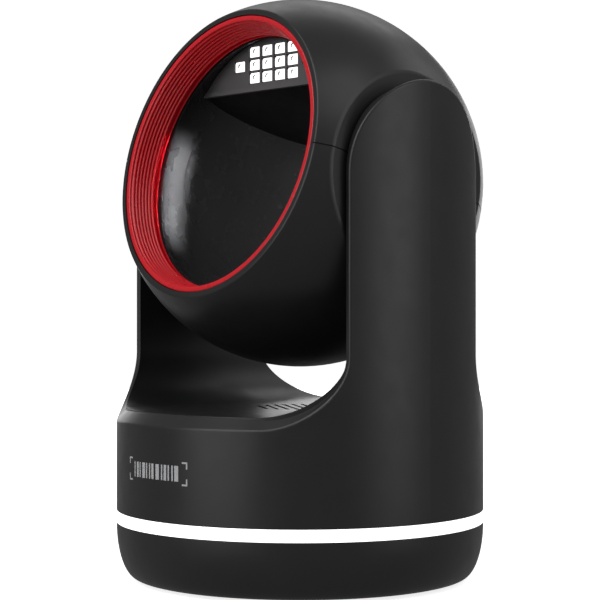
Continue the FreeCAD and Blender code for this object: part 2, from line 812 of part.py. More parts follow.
# The lamp panel stands upright when the head is at rest, so its pieces are drawn upright.
PANEL_AT_REST = Placement(Vector(0, 0, size("tilt_height")), Rotation(AXIS_X, 0))
HEAD_SCREW_RADIUS = 1.0
HEAD_SCREW_CAP = 1.85
SHELL_GAP = 0.03


def ball(radius, half_width, edge_round=0.0):
    """A ball with a flat on each side, and the rim of each flat rounded."""
    inner = Part.makeSphere(radius).common(box(-half_width, half_width, -WIDE, WIDE, -WIDE, WIDE))
    if edge_round:
        rims = [edge for edge in inner.Edges if edge.BoundBox.XLength < 0.01]
        inner = inner.makeFillet(edge_round, rims)
    return inner


def front_bar(radius, back_y):
    """A round bar along Y from back_y out past the mouth."""
    return rod(radius, Vector(0, -WIDE, 0), WIDE + back_y, AXIS_Y)


def boss_places():
    """Where the four screws join the two head shells, in plan, on the rear half."""
    places = []
    for turn in (20, 48):
        angle = math.radians(turn)
        x = size("boss_circle") * math.sin(angle)
        y = size("boss_circle") * math.cos(angle)
        places.extend([(x, y), (-x, y)])
    return places


def head_skin():
    """The hollow ball with its mouth, hinge holes and the fine groove along the shell seam."""
    wall = size("head_wall")
    radius = size("head_radius")
    half = size("head_half_width")
    skin = ball(radius, half, size("flat_round"))
    skin = skin.cut(ball(radius - wall, half - wall))
    skin = skin.cut(box(-WIDE, WIDE, -WIDE, -size("mouth_depth"), -WIDE, WIDE))
    skin = skin.cut(front_bar(size("collar_radius") + 0.1, 0))
    rim = [
        edge
        for edge in skin.Edges
        if edge.BoundBox.YLength < 0.01 and edge.BoundBox.YMax < -size("mouth_depth") + 0.01
        and edge.BoundBox.XLength > 2 * size("collar_radius") + 1.5
    ]
    skin = skin.makeFillet(size("lip_round"), rim)
    hinge_radius = size("pin_radius") + size("sleeve_wall") + size("fit_gap")
    hinge = rod(hinge_radius, Vector(-WIDE / 2, 0, 0), WIDE, AXIS_X)
    return skin.cut(hinge)


def seam_groove():
    """A shallow groove round the ball where the two shells meet."""
    depth = size("seam_depth")
    half = size("seam_width") / 2
    slab = box(-WIDE, WIDE, -WIDE, WIDE, -half, half)
    inner = ball(size("head_radius") - depth, size("head_half_width") - depth)
    return slab.cut(inner)


def make_head_upper_shell():
    """The upper half of the ball, with four blind screw bosses inside."""
    shell = head_skin()
    inner = size("head_radius") - 0.5 * size("head_wall")
    room = ball(inner, size("head_half_width") - 1)
    for x, y in boss_places():
        shell = shell.fuse(rod(size("boss_radius"), Vector(x, y, 0), size("boss_depth")).common(room))
    shell = shell.cut(box(-WIDE, WIDE, -WIDE, WIDE, -WIDE, SHELL_GAP)).cut(seam_groove())
    for x, y in boss_places():
        shell = shell.cut(rod(HEAD_SCREW_RADIUS + size("fit_gap"), Vector(x, y, -1), 10))
    return shaped("head_upper_shell", shell, HEAD_AT_REST)


def make_head_lower_shell():
    """The lower half of the ball, with screw bosses open from below and the tilt-stop peg on its right flat."""
    shell = head_skin()
    inner = size("head_radius") - 0.5 * size("head_wall")
    room = ball(inner, size("head_half_width") - 1)
    for x, y in boss_places():
        shell = shell.fuse(rod(size("boss_radius"), Vector(x, y, -30), 30).common(room))
    shell = shell.cut(box(-WIDE, WIDE, -WIDE, WIDE, -SHELL_GAP, WIDE)).cut(seam_groove())
    for x, y in boss_places():
        shell = shell.cut(rod(HEAD_SCREW_RADIUS + 0.2, Vector(x, y, -10), 12))
        shell = shell.cut(rod(HEAD_SCREW_CAP + 0.15, Vector(x, y, -WIDE), WIDE - size("boss_seat")))
    peg_start = size("head_half_width") - 0.5
    peg_end = size("channel_half_width") + 1.4
    peg = rod(size("stop_radius"), Vector(peg_start, 0, -size("stop_circle")), peg_end - peg_start, AXIS_X)
    return shaped("head_lower_shell", shell.fuse(peg), HEAD_AT_REST)


def make_head_screws():
    """The four screws that pull the head shells together."""
    screws = []
    for x, y in boss_places():
        seat = Vector(x, y, -size("boss_seat"))
        screws.append(screw(HEAD_SCREW_CAP, 1.3, HEAD_SCREW_RADIUS, size("head_screw_length"), seat, AXIS_Z))
    return shaped("head_screws", Part.makeCompound(screws), HEAD_AT_REST)


def make_hinge_bushings():
    """A flanged plastic bushing in each flat of the head, running on the hinge pin."""
    half = size("head_half_width")
    wall = size("head_wall")
    inner = size("pin_radius") + size("pin_clearance")
    sleeve_outer = size("pin_radius") + size("sleeve_wall")
    flange_outer = size("pin_radius") + size("sleeve_flange")
    flange_thick = 0.45
    sleeve = tube(sleeve_outer, inner, Vector(half - wall + 0.1, 0, 0), wall, AXIS_X)
    flange = tube(flange_outer, inner, Vector(half + 0.02, 0, 0), flange_thick, AXIS_X)
    bushing = sleeve.fuse(flange).removeSplitter()
    shaped("right_hinge_bushing", bushing, HEAD_AT_REST)
    shaped("left_hinge_bushing", mirrored_x(bushing), HEAD_AT_REST)


# ---------------------------------------------------------------- head: collar and bowl

def make_red_collar():
    """The ribbed ring that lines the mouth: seven rounded steps that narrow towards the bowl."""
    outer = size("collar_radius")
    neck = size("collar_neck")
    front = size("mouth_depth") - size("collar_front_gap")
    back = size("collar_back")
    wall = size("collar_wall")
    count = int(size("rib_count"))
    rib = size("rib_height")
    lip = outer - size("collar_lip")
    first_rib = -front + size("collar_lip_deep")
    step_y = (-back - first_rib) / count
    step_r = (lip - neck) / count
    outline = [Vector(outer, -front, 0), Vector(lip, -front, 0), Vector(lip, first_rib, 0)]
    for index in range(count):
        y = first_rib + index * step_y
        radius = lip - index * step_r
        outline.append(Vector(radius - rib, y + 0.12 * step_y, 0))
        outline.append(Vector(radius - rib - 0.3 * step_r, y + 0.55 * step_y, 0))
        outline.append(Vector(radius - step_r, y + 0.8 * step_y, 0))
        outline.append(Vector(radius - step_r, y + step_y, 0))
    bead = outer + 1.1
    bead_back = -back - 2.2
    bead_front = -back - 3.4
    bead_ramp = -back - 4.4
    outline.append(Vector(neck + wall, -back, 0))
    outline.append(Vector(neck + wall, bead_back, 0))
    outline.append(Vector(bead, bead_back, 0))
    outline.append(Vector(bead, bead_front, 0))
    outline.append(Vector(outer, bead_ramp, 0))
    outline.append(outline[0])
    ring = Part.Face(Part.makePolygon(outline)).revolve(Vector(0, 0, 0), AXIS_Y, 360)
    return shaped("red_collar", ring, HEAD_AT_REST)


def make_inner_bowl():
    """The dark bowl behind the collar, with a front flange and a raised frame round the camera window."""
    radius = size("bowl_radius")
    wall = size("bowl_wall")
    half = size("bowl_half_width")
    front = size("bowl_front")
    edge_round = size("bowl_round")
    bowl = ball(radius, half, edge_round).cut(ball(radius - wall, half - wall, edge_round))
    bowl = bowl.cut(box(-WIDE, WIDE, -WIDE, -front, -WIDE, WIDE))
    flange = tube(size("bowl_flange"), radius - 7, Vector(0, -front, 0), 1.0, AXIS_Y)
    bowl = bowl.fuse(flange.cut(ball(radius - 0.5 * wall, half - 0.5 * wall, edge_round)))
    wide = size("window_wide") / 2
    tall = size("window_tall") / 2
    start = size("window_front")
    border = size("window_frame")
    ledge = size("window_ledge")
    frame = box(-wide - border, wide + border, start, radius, -tall - border, tall + border)
    frame = frame.common(ball(radius - 0.5 * wall, half))
    bowl = bowl.fuse(frame)
    bowl = bowl.cut(box(-wide, wide, start - 1, start + 2, -tall, tall))
    bowl = bowl.cut(box(-wide + ledge, wide - ledge, start - 1, WIDE, -tall + ledge, tall - ledge))
    return shaped("inner_bowl", bowl, HEAD_AT_REST)


# ---------------------------------------------------------------- head: lamp panel

def led_places():
    """Centres of the lamps on the panel: three rows of four, and one more at each side."""
    pitch_x = size("led_pitch_x")
    pitch_z = size("led_pitch_z")
    lowest = size("led_lowest_row")
    places = []
    for row_index in range(3):
        for column in (-1.5, -0.5, 0.5, 1.5):
            places.append((column * pitch_x, lowest + row_index * pitch_z))
    for side in (-1, 1):
        places.append((side * size("led_side_x"), lowest + pitch_z))
    return places


def panel_room(shrink):
    """The space inside the bowl, turned with the head, that the panel's pieces fill."""
    radius = size("bowl_radius") - size("bowl_wall") - shrink
    half = size("bowl_half_width") - size("bowl_wall") - shrink
    room = ball(radius, half, size("bowl_round") - shrink)
    room.rotate(Vector(0, 0, 0), AXIS_X, -size("tilt_rest"))
    return room


def make_led_panel():
    """The grey upright plate with a window for each lamp and a thicker lip along its lower edge."""
    front = -size("panel_front")
    back = front + size("panel_wall")
    bottom = size("panel_bottom")
    proud = front - size("panel_lip_proud")
    plate = box(-WIDE, WIDE, front, back, bottom, WIDE)
    lip = box(-WIDE, WIDE, proud, back, bottom, bottom + size("panel_lip_tall"))
    panel = plate.fuse(lip).common(panel_room(3 * size("fit_gap"))).removeSplitter()
    half_wide = size("led_wide") / 2 + size("led_margin_x")
    half_tall = size("led_tall") / 2 + size("led_margin_z")
    for x, z in led_places():
        panel = panel.cut(box(x - half_wide, x + half_wide, front - 1, back + 1, z - half_tall, z + half_tall))
    return shaped("led_panel", panel, PANEL_AT_REST)


def make_illumination_leds():
    """The white square lamps in the panel's windows, each with a shallow round dimple."""
    front = -size("panel_front")
    half_wide = size("led_wide") / 2
    half_tall = size("led_tall") / 2
    face = front + 2 * size("fit_gap")
    deep = 1.4
    dimple = 1.1
    lamps = []
    for x, z in led_places():
        lamp = box(x - half_wide, x + half_wide, face, face + deep, z - half_tall, z + half_tall)
        lamps.append(lamp.cut(rod(dimple, Vector(x, face - dimple, z), dimple + 0.15, AXIS_Y)))
    return shaped("illumination_leds", Part.makeCompound(lamps), PANEL_AT_REST)


def make_illumination_board():
    """The board behind the panel that the lamps are soldered to."""
    start = -size("panel_front") + 1.55
    low = size("panel_bottom") + 2 * size("panel_lip_tall")
    board = box(-WIDE, WIDE, start, start + 1.0, low, low + 11.3).common(panel_room(0.6))
    return shaped("illumination_board", board, PANEL_AT_REST)


def make_led_shelf():
    """The dark ceiling of the bowl: a plate that slopes down and back from the panel's lower edge."""
    start = -size("panel_front") + size("panel_wall") + size("fit_gap")
    plate = box(-WIDE, WIDE, 0, WIDE, 0, size("shelf_thick"))
    plate.rotate(Vector(0, 0, 0), AXIS_X, -size("shelf_slope"))
    plate.translate(Vector(0, start, size("panel_bottom")))
    plate = plate.cut(box(-WIDE, WIDE, -WIDE, start, -WIDE, WIDE)).common(panel_room(2 * size("fit_gap")))
    return shaped("led_shelf", plate, PANEL_AT_REST)


# ---------------------------------------------------------------- head: camera

def make_camera():
    """The scan window, the camera with its lens and aiming lamp, and the board that carries them."""
    gap = size("fit_gap")
    wide = size("window_wide") / 2 - gap
    tall = size("window_tall") / 2 - gap
    start = size("window_front") + 0.4
    window = box(-wide, wide, start, start + size("window_ledge"), -tall, tall)
    shaped("scan_window", window, HEAD_AT_REST)
    lens_at = Vector(size("lens_x"), size("lens_front"), 0)
    aimer_at = Vector(size("aimer_x"), size("lens_front") + 1.2, 0)
    front = size("camera_front")
    back = size("camera_back")
    body = box(-9, 9, front, back, -5.6, 5.6)
    barrel_start = lens_at - AXIS_Y * 0.8
    barrel = rod(size("lens_radius") + 0.85, barrel_start, front + 0.1 - barrel_start.y, AXIS_Y)
    holder = body.fuse(barrel).cut(rod(size("lens_radius") + gap, barrel_start, 3.4, AXIS_Y))
    holder = holder.cut(rod(size("aimer_radius") + 2 * gap, aimer_at, 3.4, AXIS_Y))
    shaped("camera_body", holder.removeSplitter(), HEAD_AT_REST)
    lens = rod(size("lens_radius"), lens_at, 2.4, AXIS_Y)
    dome_radius = 5.4
    dome = Part.makeSphere(dome_radius, lens_at + AXIS_Y * (dome_radius - 0.6))
    shaped("camera_lens", lens.common(dome), HEAD_AT_REST)
    aimer = rod(size("aimer_radius"), aimer_at, 3.2, AXIS_Y)
    shaped("aiming_lamp", aimer, HEAD_AT_REST)
    board = box(-11, 11, back + 0.1, back + 1.1, -8, 8)
    shaped("camera_board", board, HEAD_AT_REST)


def make_head_flex():
    """The flat cable that follows the bowl from the camera board round to the left hinge."""
    low = 14.5
    tall = 5.0
    outer = 38.9
    thick = 0.3
    band = tube(outer, outer - thick, Vector(0, 0, low), tall)
    corners = [Vector(0, 0, low), Vector(-20, WIDE, low), Vector(-WIDE, WIDE, low), Vector(-WIDE, 42, low)]
    sector = Part.Face(Part.makePolygon(corners + corners[:1])).extrude(AXIS_Z * tall)
    return shaped("head_flex", band.common(sector), HEAD_AT_REST)


# ---------------------------------------------------------------- build

make_outer_housing()
make_saddle_cover()
make_light_ring()
make_bottom_cover()
make_ballast()
make_rubber_feet()
make_bottom_screws()
make_main_board()
make_board_parts()
make_jack()
make_speaker()
make_light_board()
make_ring_lamps()
make_hinge_hardware()
make_arm_flex()
make_head_upper_shell()
make_head_lower_shell()
make_head_screws()
make_hinge_bushings()
make_red_collar()
make_inner_bowl()
make_led_panel()
make_illumination_leds()
make_illumination_board()
make_led_shelf()
make_camera()
make_head_flex()

doc.recompute()
for item in doc.Objects:
    if "Invalid" in item.State or "Error" in item.State:
        raise RuntimeError(f"{item.Label} failed: {item.State}")
for piece in pieces:
    if piece.Shape.isNull() or not piece.Shape.isValid():
        raise RuntimeError(f"{piece.Label} has no valid shape")

os.makedirs("parts", exist_ok=True)
for piece in pieces:
    piece.Shape.exportStep(f"parts/{piece.Label}.step")
    print(piece.Label, len(piece.Shape.Solids), "solids", round(piece.Shape.Volume), "mm3")
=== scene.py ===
"""Looks of the desktop barcode scanner: finishes for its parts, its finely made pieces, and the studio."""
import json
import math

import bmesh
import bpy
from mathutils import Matrix, Vector


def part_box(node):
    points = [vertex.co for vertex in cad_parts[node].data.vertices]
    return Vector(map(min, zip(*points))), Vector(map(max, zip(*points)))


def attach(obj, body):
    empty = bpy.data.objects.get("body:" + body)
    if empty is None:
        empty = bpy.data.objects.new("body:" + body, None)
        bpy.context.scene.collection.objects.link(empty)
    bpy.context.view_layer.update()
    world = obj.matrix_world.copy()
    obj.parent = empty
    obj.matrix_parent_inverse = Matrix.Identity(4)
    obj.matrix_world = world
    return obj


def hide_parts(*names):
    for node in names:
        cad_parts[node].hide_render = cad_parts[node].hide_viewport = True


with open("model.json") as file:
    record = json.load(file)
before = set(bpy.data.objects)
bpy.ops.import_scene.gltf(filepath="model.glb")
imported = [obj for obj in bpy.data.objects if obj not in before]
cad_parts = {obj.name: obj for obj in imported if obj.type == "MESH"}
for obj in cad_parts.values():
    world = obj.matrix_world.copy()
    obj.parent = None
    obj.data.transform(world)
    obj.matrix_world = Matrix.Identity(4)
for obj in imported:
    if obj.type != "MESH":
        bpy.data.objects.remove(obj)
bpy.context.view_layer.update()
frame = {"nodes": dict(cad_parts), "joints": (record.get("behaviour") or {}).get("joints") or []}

MM = 0.001

# ---------------------------------------------------------------- places worked out from the frame

NODES = frame["nodes"]
TILT = frame["joints"][0]
HINGE = Vector(TILT["pos_m"])
BASE_RADIUS = (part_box("light_ring")[1].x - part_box("light_ring")[0].x) / 2
HEAD_TIP = math.radians(-13.4)
HEAD_REST = Matrix.Translation(HINGE) @ Matrix.Rotation(HEAD_TIP, 4, "X")
MOUTH_DEPTH = 29.6 * MM
COLLAR_RADIUS = 36.3 * MM
COLLAR_NECK = 33.7 * MM
COLLAR_BACK = 20.8 * MM
COLLAR_LIP = 1.3 * MM
RIB_COUNT = 7
LAMP_FACE = -9.3 * MM
LAMP_WIDE = 3.6 * MM
LAMP_TALL = 2.65 * MM
LAMP_ROWS = [HINGE.z + row * MM for row in (27.9, 31.3, 34.7)]
LAMP_PLACES = [(column * 5.05 * MM, row) for row in LAMP_ROWS for column in (-1.5, -0.5, 0.5, 1.5)]
LAMP_PLACES += [(side * 13.6 * MM, LAMP_ROWS[1]) for side in (-1, 1)]
CHANNEL_FLOOR = 44.6 * MM
MARK_HEIGHT = 30.6 * MM

# ---------------------------------------------------------------- nodes and colours


def srgb(text):
    """An sRGB hex colour as linear RGBA."""
    channels = [int(text[i:i + 2], 16) / 255 for i in (1, 3, 5)]
    linear = [c / 12.92 if c <= 0.04045 else ((c + 0.055) / 1.055) ** 2.4 for c in channels]
    return (*linear, 1.0)


def add_node(tree, kind, inputs=(), **settings):
    """Adds a node, sets its properties, and fills or links its inputs from (name, value or socket) pairs."""
    node = tree.nodes.new(kind)
    for name, value in settings.items():
        setattr(node, name, value)
    for name, value in inputs:
        if isinstance(value, bpy.types.NodeSocket):
            tree.links.new(value, node.inputs[name])
        else:
            node.inputs[name].default_value = value
    return node


def new_material(name, **values):
    """A material with a Principled surface whose constant values are set on its own sockets."""
    material = bpy.data.materials.new(name)
    material.use_nodes = True
    tree = material.node_tree
    tree.nodes.clear()
    constants = [(key.replace("_", " "), value) for key, value in values.items()]
    surface = add_node(tree, "ShaderNodeBsdfPrincipled", constants)
    add_node(tree, "ShaderNodeOutputMaterial", [("Surface", surface.outputs["BSDF"])])
    place = add_node(tree, "ShaderNodeTexCoord").outputs["Object"]
    return material, tree, surface, place


def mottle(tree, place, grain, detail=3.0):
    """Cloudy noise whose blobs are about one grain across, in metres."""
    noise = [("Vector", place), ("Scale", 1.0 / grain), ("Detail", detail)]
    return add_node(tree, "ShaderNodeTexNoise", noise).outputs["Fac"]


def spread(tree, value, low, high):
    """Maps the middle of a noise's range onto low to high."""
    ramp = [("Value", value), ("From Min", 0.3), ("From Max", 0.7), ("To Min", low), ("To Max", high)]
    return add_node(tree, "ShaderNodeMapRange", ramp).outputs["Result"]


def blend_colours(tree, factor, first, second):
    """A colour between two, by a factor socket."""
    mix = add_node(tree, "ShaderNodeMix", [("Factor", factor)], data_type="RGBA")
    mix.inputs[6].default_value = srgb(first)
    mix.inputs[7].default_value = srgb(second)
    return mix.outputs[2]


def relief(tree, surface, height, depth, strength):
    """Fine relief on the surface from a height socket, depth in metres."""
    bump = add_node(tree, "ShaderNodeBump", [("Height", height), ("Strength", strength), ("Distance", depth)])
    tree.links.new(bump.outputs["Normal"], surface.inputs["Normal"])


# ---------------------------------------------------------------- materials


def moulded_plastic(name, dark, light, low_rough, high_rough, grain, depth, **values):
    """Injection-moulded plastic: a spark-eroded grain, a faint cloudiness and slightly uneven gloss."""
    material, tree, surface, place = new_material(name, IOR=1.53, **values)
    cloud = spread(tree, mottle(tree, place, 14 * MM, 4.0), 0.0, 1.0)
    fine = mottle(tree, place, grain, 2.0)
    uneven_gloss = spread(tree, mottle(tree, place, 5 * MM), low_rough, high_rough)
    tree.links.new(blend_colours(tree, cloud, dark, light), surface.inputs["Base Color"])
    tree.links.new(uneven_gloss, surface.inputs["Roughness"])
    relief(tree, surface, fine, depth, 0.6)
    return material


def plated_metal(name, dark, light, rough, brush):
    """Plated steel sheet and turned steel: fine drawn lines and a mottled zinc bloom."""
    material, tree, surface, place = new_material(name, Metallic=1.0)
    stretch = add_node(tree, "ShaderNodeMapping", [("Vector", place), ("Scale", (1.0, 14.0, 1.0))])
    lines = mottle(tree, stretch.outputs["Vector"], brush, 5.0)
    bloom = spread(tree, mottle(tree, place, 3 * MM, 4.0), 0.0, 1.0)
    tree.links.new(blend_colours(tree, bloom, dark, light), surface.inputs["Base Color"])
    tree.links.new(spread(tree, lines, rough - 0.08, rough + 0.12), surface.inputs["Roughness"])
    relief(tree, surface, lines, 0.01 * MM, 0.4)
    return material


def glowing(name, colour, strength, cloud_low):
    """A light-spreading part that glows evenly, with a faint milky unevenness."""
    material, tree, surface, place = new_material(name, Roughness=0.45, IOR=1.58, Emission_Strength=strength)
    haze = spread(tree, mottle(tree, place, 6 * MM), cloud_low, 1.0)
    warm = add_node(tree, "ShaderNodeMix", [("Factor", haze)], data_type="RGBA")
    warm.inputs[6].default_value = tuple(0.9 * c for c in srgb(colour)[:3]) + (1.0,)
    warm.inputs[7].default_value = srgb(colour)
    tree.links.new(warm.outputs[2], surface.inputs["Emission Color"])
    tree.links.new(warm.outputs[2], surface.inputs["Base Color"])
    return material


def circuit_board():
    """Glass-fibre board: green solder mask over copper tracks, which stand a little proud and lighter."""
    material, tree, surface, place = new_material("fibreglass_board_solder_mask", IOR=1.52, Coat_Weight=0.3)
    layout = [("Vector", place), ("Scale", 1.0 / (5 * MM)), ("Mortar Size", 0.06)]
    tracks = add_node(tree, "ShaderNodeTexBrick", layout)
    weave = mottle(tree, place, 0.6 * MM)
    mask = blend_colours(tree, tracks.outputs["Fac"], "#0c4a2a", "#1d6b40")
    tree.links.new(mask, surface.inputs["Base Color"])
    tree.links.new(spread(tree, weave, 0.28, 0.42), surface.inputs["Roughness"])
    relief(tree, surface, tracks.outputs["Fac"], 0.04 * MM, 0.5)
    return material


def flat_cable():
    """Polyimide flat cable: amber film with copper tracks along its length."""
    material, tree, surface, place = new_material("polyimide_flat_cable", IOR=1.6, Roughness=0.3)
    layout = [("Vector", place), ("Scale", 2.0), ("Distortion", 0.0)]
    tracks = add_node(tree, "ShaderNodeTexWave", layout, bands_direction="Y")
    film = blend_colours(tree, tracks.outputs["Fac"], "#7a3c0c", "#b9701f")
    tree.links.new(film, surface.inputs["Base Color"])
    relief(tree, surface, tracks.outputs["Fac"], 0.03 * MM, 0.4)
    return material


def soft_rubber():
    """Moulded rubber foot: dull, dusty and slightly pitted."""
    return moulded_plastic("moulded_rubber_foot", "#141414", "#1d1d1c", 0.75, 0.95, 0.5 * MM, 0.05 * MM)


def smoked_acrylic():
    """Polished smoked acrylic: nearly black, with a hard gloss and the camera faintly behind it."""
    material, tree, surface, place = new_material(
        "polished_smoked_acrylic", IOR=1.49, Roughness=0.04, Transmission_Weight=0.8)
    haze = spread(tree, mottle(tree, place, 8 * MM), 0.0, 1.0)
    tree.links.new(blend_colours(tree, haze, "#3a2024", "#44262a"), surface.inputs["Base Color"])
    return material


def coated_glass():
    """Coated camera glass: clear with a violet bloom."""
    material, tree, surface, place = new_material(
        "anti_reflection_coated_glass", IOR=1.6, Roughness=0.02, Transmission_Weight=0.5, Coat_Weight=0.6)
    bloom = spread(tree, mottle(tree, place, 3 * MM), 0.0, 1.0)
    tree.links.new(blend_colours(tree, bloom, "#20263f", "#322449"), surface.inputs["Base Color"])
    return material


def pressed_paper():
    """Pressed paper cone: fibrous and dull."""
    material, tree, surface, place = new_material("pressed_paper_cone", Roughness=0.9)
    fibres = mottle(tree, place, 0.7 * MM, 6.0)
    pulp = blend_colours(tree, spread(tree, fibres, 0.0, 1.0), "#17171a", "#2a2a2d")
    tree.links.new(pulp, surface.inputs["Base Color"])
    relief(tree, surface, fibres, 0.08 * MM, 0.7)
    return material


def woven_cloth():
    """Woven acoustic cloth: a fine plain weave of black thread."""
    material, tree, surface, place = new_material("woven_acoustic_cloth", Roughness=0.9, Sheen_Weight=0.3)
    thread = 0.5 * MM
    wave_spacing = 0.314  # how far apart a wave texture's bands lie at a scale of one
    threads = [("Vector", place), ("Scale", wave_spacing / thread)]
    warp = add_node(tree, "ShaderNodeTexWave", threads, bands_direction="X").outputs["Fac"]
    weft = add_node(tree, "ShaderNodeTexWave", threads, bands_direction="Y").outputs["Fac"]
    both = add_node(tree, "ShaderNodeMath", [(0, warp), (1, weft)], operation="MULTIPLY")
    yarn = blend_colours(tree, both.outputs[0], "#0a0a0b", "#1c1c1e")
    tree.links.new(yarn, surface.inputs["Base Color"])
    relief(tree, surface, both.outputs[0], 0.1 * MM, 0.8)
    return material


BLACK_ABS = moulded_plastic("moulded_black_abs", "#1d1d1e", "#212122", 0.33, 0.4, 0.3 * MM, 0.008 * MM)
# Painted light: the bowl's black is lighter than the body's, a lifted base colour that stands in for light
# inside the bowl; only its lower roughness is a real difference.
BOWL_ABS_PAINTED_LIGHTER = moulded_plastic(
    "moulded_black_abs_polished_painted_lighter", "#262627", "#272728", 0.26, 0.28, 0.6 * MM, 0.0005 * MM)
SHELF_ABS = moulded_plastic("moulded_black_abs_matt", "#0b0b0c", "#0f0f10", 0.6, 0.7, 0.3 * MM, 0.008 * MM)
RED_ABS = moulded_plastic("moulded_red_abs", "#d81220", "#e01626", 0.26, 0.34, 0.5 * MM, 0.004 * MM)
GREY_PLASTIC = moulded_plastic("moulded_grey_abs", "#5c5c5e", "#646466", 0.4, 0.5, 0.3 * MM, 0.008 * MM)
NYLON_CREAM = moulded_plastic(
    "moulded_nylon_connector", "#c9c2a8", "#d5cfb6", 0.45, 0.55, 0.4 * MM, 0.01 * MM)
NYLON_BLACK = moulded_plastic("moulded_nylon_socket", "#101011", "#18181a", 0.4, 0.55, 0.4 * MM, 0.01 * MM)
EPOXY = moulded_plastic("moulded_epoxy_chip", "#17181a", "#202124", 0.55, 0.7, 0.3 * MM, 0.01 * MM)
ACETAL = moulded_plastic("moulded_acetal_bushing", "#d9d9d2", "#e4e4de", 0.3, 0.4, 0.5 * MM, 0.005 * MM)
INK = moulded_plastic("pad_printed_grey_ink", "#b9babc", "#c4c5c7", 0.5, 0.6, 0.4 * MM, 0.004 * MM)
ZINC_STEEL = plated_metal("zinc_plated_steel", "#9a9b9c", "#b6b7b5", 0.34, 0.5 * MM)
BLACK_STEEL = plated_metal("black_zinc_plated_steel", "#2b2b2d", "#3c3c3e", 0.36, 0.5 * MM)
GOLD = plated_metal("gold_plated_spring_wire", "#c99a3a", "#dcb25a", 0.22, 0.5 * MM)
FROSTED = glowing("frosted_polycarbonate_lit", "#ffffff", 1.3, 0.6)
LAMP = glowing("lamp_phosphor_lit", "#ffffff", 1.15, 0.7)
BOARD = circuit_board()
FLEX = flat_cable()
RUBBER = soft_rubber()
ACRYLIC = smoked_acrylic()
GLASS = coated_glass()
PAPER = pressed_paper()
CLOTH = woven_cloth()

CAD_FINISHES = {
    BLACK_ABS: ["outer_housing", "saddle_cover", "bottom_cover", "head_upper_shell", "head_lower_shell"],
    BOWL_ABS_PAINTED_LIGHTER: ["inner_bowl"],
    SHELF_ABS: ["led_shelf"],
    RED_ABS: ["red_collar"],
    GREY_PLASTIC: ["led_panel"],
    NYLON_CREAM: ["board_connectors"],
    NYLON_BLACK: ["cable_jack"],
    EPOXY: ["board_chips", "camera_body", "speaker_frame"],
    ACETAL: ["right_hinge_bushing", "left_hinge_bushing"],
    ZINC_STEEL: ["ballast_plate", "right_hinge_bracket", "left_hinge_bracket", "right_hinge_pin",
                 "left_hinge_pin", "retaining_rings", "friction_washers"],
    BLACK_STEEL: ["bottom_screws", "board_screws", "bracket_screws", "head_screws"],
    GOLD: ["jack_contacts"],
    FROSTED: ["light_ring", "ring_lamps"],
    LAMP: ["illumination_leds"],
    BOARD: ["main_board", "light_board", "illumination_board", "camera_board"],
    FLEX: ["arm_flex", "head_flex"],
    RUBBER: ["rubber_feet"],
    ACRYLIC: ["scan_window"],
    GLASS: ["camera_lens", "aiming_lamp"],
    PAPER: ["speaker_cone"],
}
for finish, names in CAD_FINISHES.items():
    for name in names:
        for material_slot in NODES[name].material_slots:
            material_slot.material = finish

# ---------------------------------------------------------------- finely made pieces


def finished(name, mesh, material, body, smooth_angle=35.0):
    """Turns a bmesh into a piece of the object: outward faces, soft shading, its finish and its body."""
    bmesh.ops.remove_doubles(mesh, verts=mesh.verts, dist=1e-7)
    bmesh.ops.recalc_face_normals(mesh, faces=mesh.faces)
    data = bpy.data.meshes.new(name)
    mesh.to_mesh(data)
    mesh.free()
    piece = bpy.data.objects.new(name, data)
    bpy.context.scene.collection.objects.link(piece)
    data.materials.append(material)
    data.shade_smooth()
    data.set_sharp_from_angle(angle=math.radians(smooth_angle))
    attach(piece, body)
    return piece


def spun_ring(outline, axis, steps=256):
    """A closed ring: an outline of points swept once round an axis through the origin."""
    mesh = bmesh.new()
    corners = [mesh.verts.new(point) for point in outline]
    edges = [mesh.edges.new((corners[i], corners[(i + 1) % len(corners)])) for i in range(len(corners))]
    bmesh.ops.spin(mesh, geom=corners + edges, cent=(0, 0, 0), axis=axis, angle=2 * math.pi,
                   steps=steps, use_merge=True)
    return mesh


